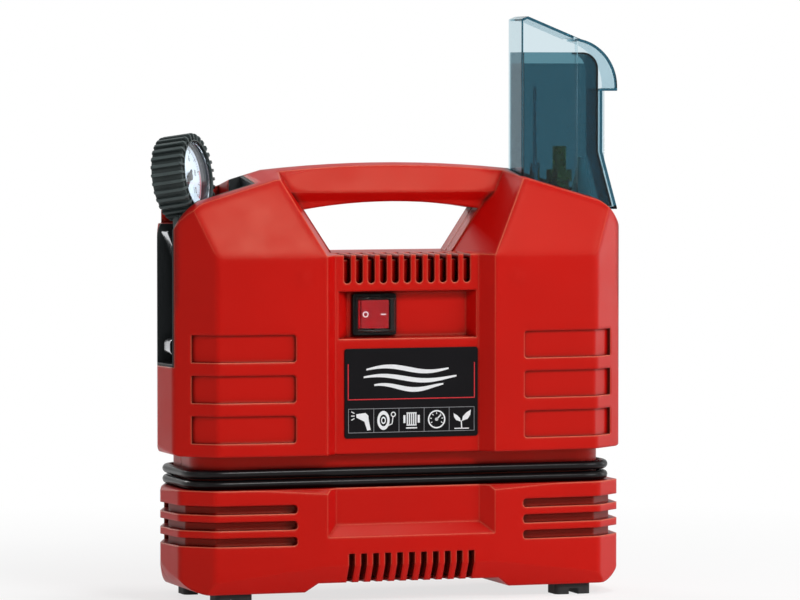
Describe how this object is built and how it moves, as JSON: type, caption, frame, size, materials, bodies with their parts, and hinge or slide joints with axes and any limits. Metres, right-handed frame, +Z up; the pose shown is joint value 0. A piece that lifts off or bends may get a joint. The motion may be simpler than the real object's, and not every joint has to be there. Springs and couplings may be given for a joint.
{
  "type": "portable air compressor",
  "caption": "Portable oil-free air compressor in a waisted red case with carry handle, wound mains cord, inflator gun in a side bay and a lift-out clear accessory box.",
  "frame": {"origin": "On the floor plane, midway across the width, in the plane where the front and rear halves of the case meet.", "axes": "X to the right of a person facing the front, Y from the front to the rear, Z up. The front faces -Y."},
  "size_m": [0.3534, 0.1535, 0.4184],
  "materials": {
    "red_casing": "satin moulded",
    "black_liner": "matte moulded",
    "label_black": "printed plate",
    "black_rubber": "moulded rubber",
    "steel_screw": "zinc plated",
    "cord_black": "smooth sheath",
    "pin_metal": "plated",
    "black_plastic": "moulded",
    "rocker_red": "translucent lens",
    "clear_cover": "clear",
    "brass": "turned",
    "clear_hood": "clear moulded",
    "tinted_tub": "tinted moulded",
    "chrome": "polished",
    "pale_plastic": "moulded",
    "gauge_metal": "painted",
    "dial_white": "printed",
    "needle_dark": "painted",
    "steel": "ground",
    "copper": "drawn copper",
    "carbon": "sintered",
    "grey_plastic": "moulded",
    "aluminium": "die cast",
    "gear_plastic": "moulded"
  },
  "bodies": {
    "casing": {"front_shell": "red_casing", "rear_shell": "red_casing", "left_bay_liner": "black_liner", "right_bay_liner": "black_liner", "label_plate": "label_black", "rubber_feet": "black_rubber", "foot_screws": "steel_screw", "housing_screws": "steel_screw", "cord_gland": "cord_black", "cord_winding": "cord_black", "mains_plug": "cord_black", "plug_pins": "pin_metal", "switch_frame": "black_plastic", "switch_cover": "clear_cover", "switch_terminals": "brass", "motor_stator": "steel", "stator_coils": "copper", "brush_bracket": "grey_plastic", "carbon_brushes": "carbon", "motor_bearings": "steel", "motor_bolts": "steel_screw", "pump_frame": "aluminium", "crank_bearing": "steel", "pump_cylinder": "aluminium", "valve_plate": "aluminium", "cylinder_head": "aluminium", "head_bolts": "steel_screw", "outlet_pipe": "copper", "outlet_coupling": "brass", "rubber_mounts": "black_rubber"},
    "storage": {"storage_box": "clear_hood", "storage_tub": "tinted_tub", "ball_needle": "chrome", "valve_adapter": "brass", "cone_adapter": "pale_plastic"},
    "inflator": {"gun_body": "black_plastic", "gun_nipple": "brass", "gun_chuck": "brass", "lever_pin": "steel_screw", "gauge_boot": "black_rubber", "gauge_case": "gauge_metal", "gauge_dial": "dial_white", "gauge_glass": "clear_cover", "gauge_stem": "brass"},
    "lever": {"gun_lever": "chrome"},
    "needle": {"gauge_needle": "needle_dark"},
    "rocker": {"switch_rocker": "rocker_red"},
    "rotor": {"rotor_core": "steel", "motor_shaft": "steel", "commutator": "copper", "cooling_fan": "grey_plastic", "drive_pinion": "steel"},
    "gear": {"drive_gear": "gear_plastic", "crank_shaft": "steel", "crank_pin": "steel"},
    "piston": {"connecting_rod": "aluminium", "piston_seal": "carbon"},
    "sleeve": {"coupling_sleeve": "chrome"}
  },
  "joints": [
    {"name": "storage_lift", "type": "slide", "parent": "casing", "child": "storage", "axis": [0, 0, 1], "range_m": [-0.114, 0.035]},
    {"name": "inflator_lift", "type": "slide", "parent": "casing", "child": "inflator", "axis": [0, 0, 1], "range_m": [0, 0.2]},
    {"name": "lever_press", "type": "hinge", "parent": "inflator", "child": "lever", "pos_m": [-0.1555, -0.0145, 0.252], "axis": [0, -1, 0], "range_deg": [0, 8], "stiffness_Nm_per_rad": 0.6},
    {"name": "needle_turn", "type": "hinge", "parent": "inflator", "child": "needle", "pos_m": [-0.1536, -0.0043, 0.303], "axis": [-0.7726, 0.6191, -0.1405], "range_deg": [0, 270]},
    {"name": "rocker_tilt", "type": "hinge", "parent": "casing", "child": "rocker", "pos_m": [-0.0224, -0.0375, 0.205], "axis": [0, 0, 1], "range_deg": [0, 18]},
    {"name": "motor_spin", "type": "hinge", "parent": "casing", "child": "rotor", "pos_m": [0, 0, 0.05], "axis": [1, 0, 0], "continuous": true},
    {"name": "gear_spin", "type": "hinge", "parent": "casing", "child": "gear", "pos_m": [0.028, 0, 0.08615], "axis": [1, 0, 0], "continuous": true},
    {"name": "piston_stroke", "type": "slide", "parent": "casing", "child": "piston", "axis": [0, 0, 1], "range_m": [-0.022, 0]},
    {"name": "sleeve_pull", "type": "slide", "parent": "casing", "child": "sleeve", "axis": [0, -1, 0], "range_m": [0, 0.004], "stiffness_N_per_m": 400}
  ],
  "couplings": [
    {"joint": "gear_spin", "follows": "motor_spin", "ratio": -0.2}
  ]
}
